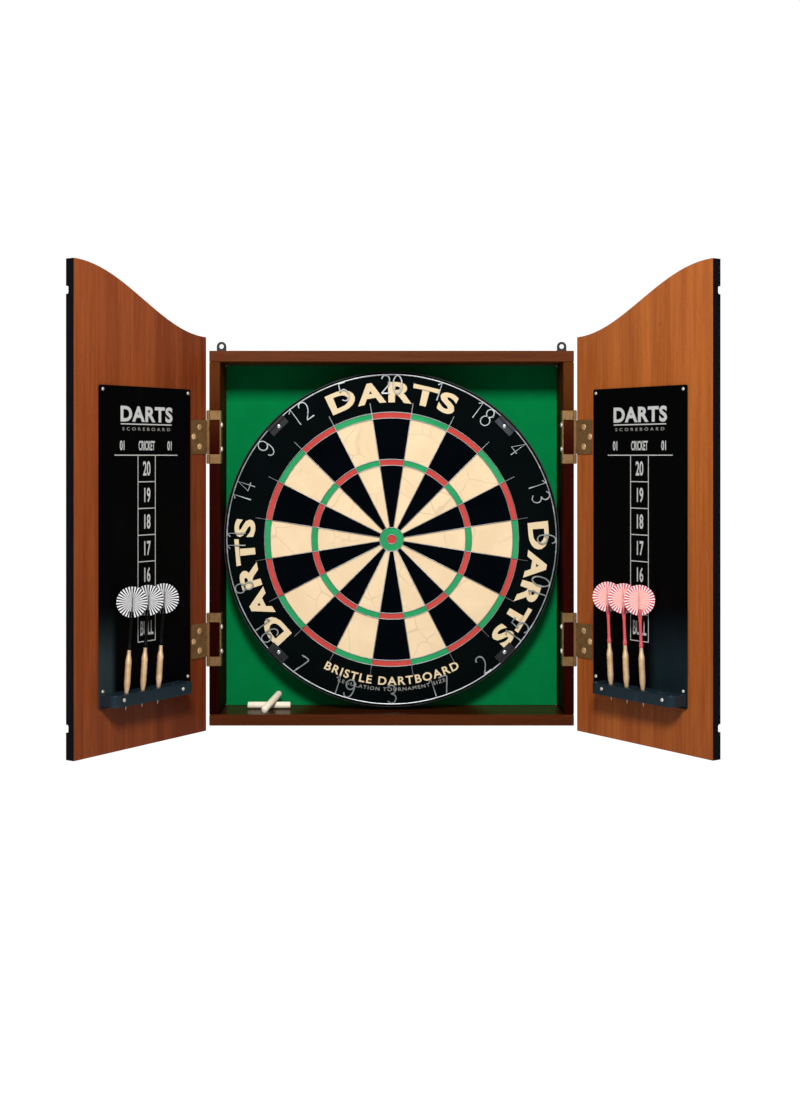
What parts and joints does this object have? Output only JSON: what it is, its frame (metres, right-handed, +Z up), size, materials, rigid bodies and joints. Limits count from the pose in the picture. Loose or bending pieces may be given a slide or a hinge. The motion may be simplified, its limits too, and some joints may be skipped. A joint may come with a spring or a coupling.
{
  "type": "dart board cabinet",
  "caption": "Wall-hung wooden dart board cabinet with crowned doors hinged open, holding a bristle board, scoreboards, racked darts and chalk",
  "frame": {"origin": "centre of the cabinet's back face, where it meets the wall", "axes": "+X to the viewer's right, +Y into the wall, +Z up; the board and the doors' inner faces look along -Y"},
  "size_m": [0.7764, 0.2835, 0.5945],
  "materials": {
    "dark_wood": "dark mahogany stain under gloss lacquer",
    "door_veneer": "straight-grained mahogany veneer, satin lacquer, black edge",
    "panel_wood": "raw fibreboard",
    "green_felt": "green felt",
    "bristle": "compressed sisal bristle, dyed beds",
    "chipboard": "raw chipboard",
    "black_steel": "satin black",
    "bright_steel": "bright wire",
    "hinge_brass": "brassed steel, lightly tarnished",
    "black_gloss": "gloss black",
    "dart_brass": "turned brass",
    "shaft_black": "moulded",
    "shaft_red": "moulded",
    "flight_black": "printed film, black and white rays",
    "flight_red": "printed film, red and white rays",
    "chalk": "dusty chalk"
  },
  "bodies": {
    "cabinet": {"side_rail_left": "dark_wood", "side_rail_right": "dark_wood", "top_rail": "dark_wood", "bottom_rail": "dark_wood", "back_panel": "panel_wood", "felt_lining": "green_felt", "board_bracket": "black_steel", "hanger_left": "black_steel", "hanger_right": "black_steel", "frame_leaf_upper_left": "hinge_brass", "frame_leaf_upper_right": "hinge_brass", "frame_leaf_lower_left": "hinge_brass", "frame_leaf_lower_right": "hinge_brass", "hinge_pin_upper_left": "hinge_brass", "hinge_pin_upper_right": "hinge_brass", "hinge_pin_lower_left": "hinge_brass", "hinge_pin_lower_right": "hinge_brass"},
    "dartboard": {"rim_band": "black_steel", "board_backing": "chipboard", "board_core": "bristle", "wire_spider": "bright_steel", "bull_wire": "bright_steel", "number_ring": "bright_steel", "ring_clip_1": "bright_steel", "ring_clip_2": "bright_steel", "ring_clip_3": "bright_steel", "ring_clip_4": "bright_steel", "board_bolt": "bright_steel"},
    "left_door": {"door_panel_left": "door_veneer", "door_leaf_upper_left": "hinge_brass", "door_leaf_lower_left": "hinge_brass", "scoreboard_left": "black_gloss", "dart_rack_left": "black_gloss"},
    "right_door": {"door_panel_right": "door_veneer", "door_leaf_upper_right": "hinge_brass", "door_leaf_lower_right": "hinge_brass", "scoreboard_right": "black_gloss", "dart_rack_right": "black_gloss"},
    "dart_left_1": {"dart_left_1_barrel": "dart_brass", "dart_left_1_shaft": "shaft_black", "dart_left_1_flight": "flight_black"},
    "dart_left_2": {"dart_left_2_barrel": "dart_brass", "dart_left_2_shaft": "shaft_black", "dart_left_2_flight": "flight_black"},
    "dart_left_3": {"dart_left_3_barrel": "dart_brass", "dart_left_3_shaft": "shaft_black", "dart_left_3_flight": "flight_black"},
    "dart_right_1": {"dart_right_1_barrel": "dart_brass", "dart_right_1_shaft": "shaft_red", "dart_right_1_flight": "flight_red"},
    "dart_right_2": {"dart_right_2_barrel": "dart_brass", "dart_right_2_shaft": "shaft_red", "dart_right_2_flight": "flight_red"},
    "dart_right_3": {"dart_right_3_barrel": "dart_brass", "dart_right_3_shaft": "shaft_red", "dart_right_3_flight": "flight_red"},
    "chalk_stick_1": {"chalk_1": "chalk"},
    "chalk_stick_2": {"chalk_2": "chalk"}
  },
  "joints": [
    {"name": "left_door_hinge", "type": "hinge", "parent": "cabinet", "child": "left_door", "pos_m": [-0.24095, -0.0845, 0], "axis": [0, 0, -1], "range_deg": [-123.6, 56.4]},
    {"name": "right_door_hinge", "type": "hinge", "parent": "cabinet", "child": "right_door", "pos_m": [0.24095, -0.0845, 0], "axis": [0, 0, 1], "range_deg": [-125, 55]},
    {"name": "board_turn", "type": "hinge", "parent": "cabinet", "child": "dartboard", "pos_m": [0, -0.0103, -0.0032], "axis": [0, -1, 0], "continuous": true},
    {"name": "dart_left_1_lift", "type": "slide", "parent": "left_door", "child": "dart_left_1", "axis": [0.0482, 0.0726, 0.9962], "range_m": [0, 0.06]},
    {"name": "dart_left_2_lift", "type": "slide", "parent": "left_door", "child": "dart_left_2", "axis": [0.0482, 0.0726, 0.9962], "range_m": [0, 0.06]},
    {"name": "dart_left_3_lift", "type": "slide", "parent": "left_door", "child": "dart_left_3", "axis": [0.0482, 0.0726, 0.9962], "range_m": [0, 0.06]},
    {"name": "dart_right_1_lift", "type": "slide", "parent": "right_door", "child": "dart_right_1", "axis": [-0.03, 0.0429, 0.9986], "range_m": [0, 0.06]},
    {"name": "dart_right_2_lift", "type": "slide", "parent": "right_door", "child": "dart_right_2", "axis": [-0.03, 0.0429, 0.9986], "range_m": [0, 0.06]},
    {"name": "dart_right_3_lift", "type": "slide", "parent": "right_door", "child": "dart_right_3", "axis": [-0.03, 0.0429, 0.9986], "range_m": [0, 0.06]},
    {"name": "chalk_1_lift", "type": "slide", "parent": "cabinet", "child": "chalk_stick_1", "axis": [0, 0, 1], "range_m": [0, 0.015]},
    {"name": "chalk_2_lift", "type": "slide", "parent": "chalk_stick_1", "child": "chalk_stick_2", "axis": [0, 0, 1], "range_m": [0, 0.015]}
  ]
}
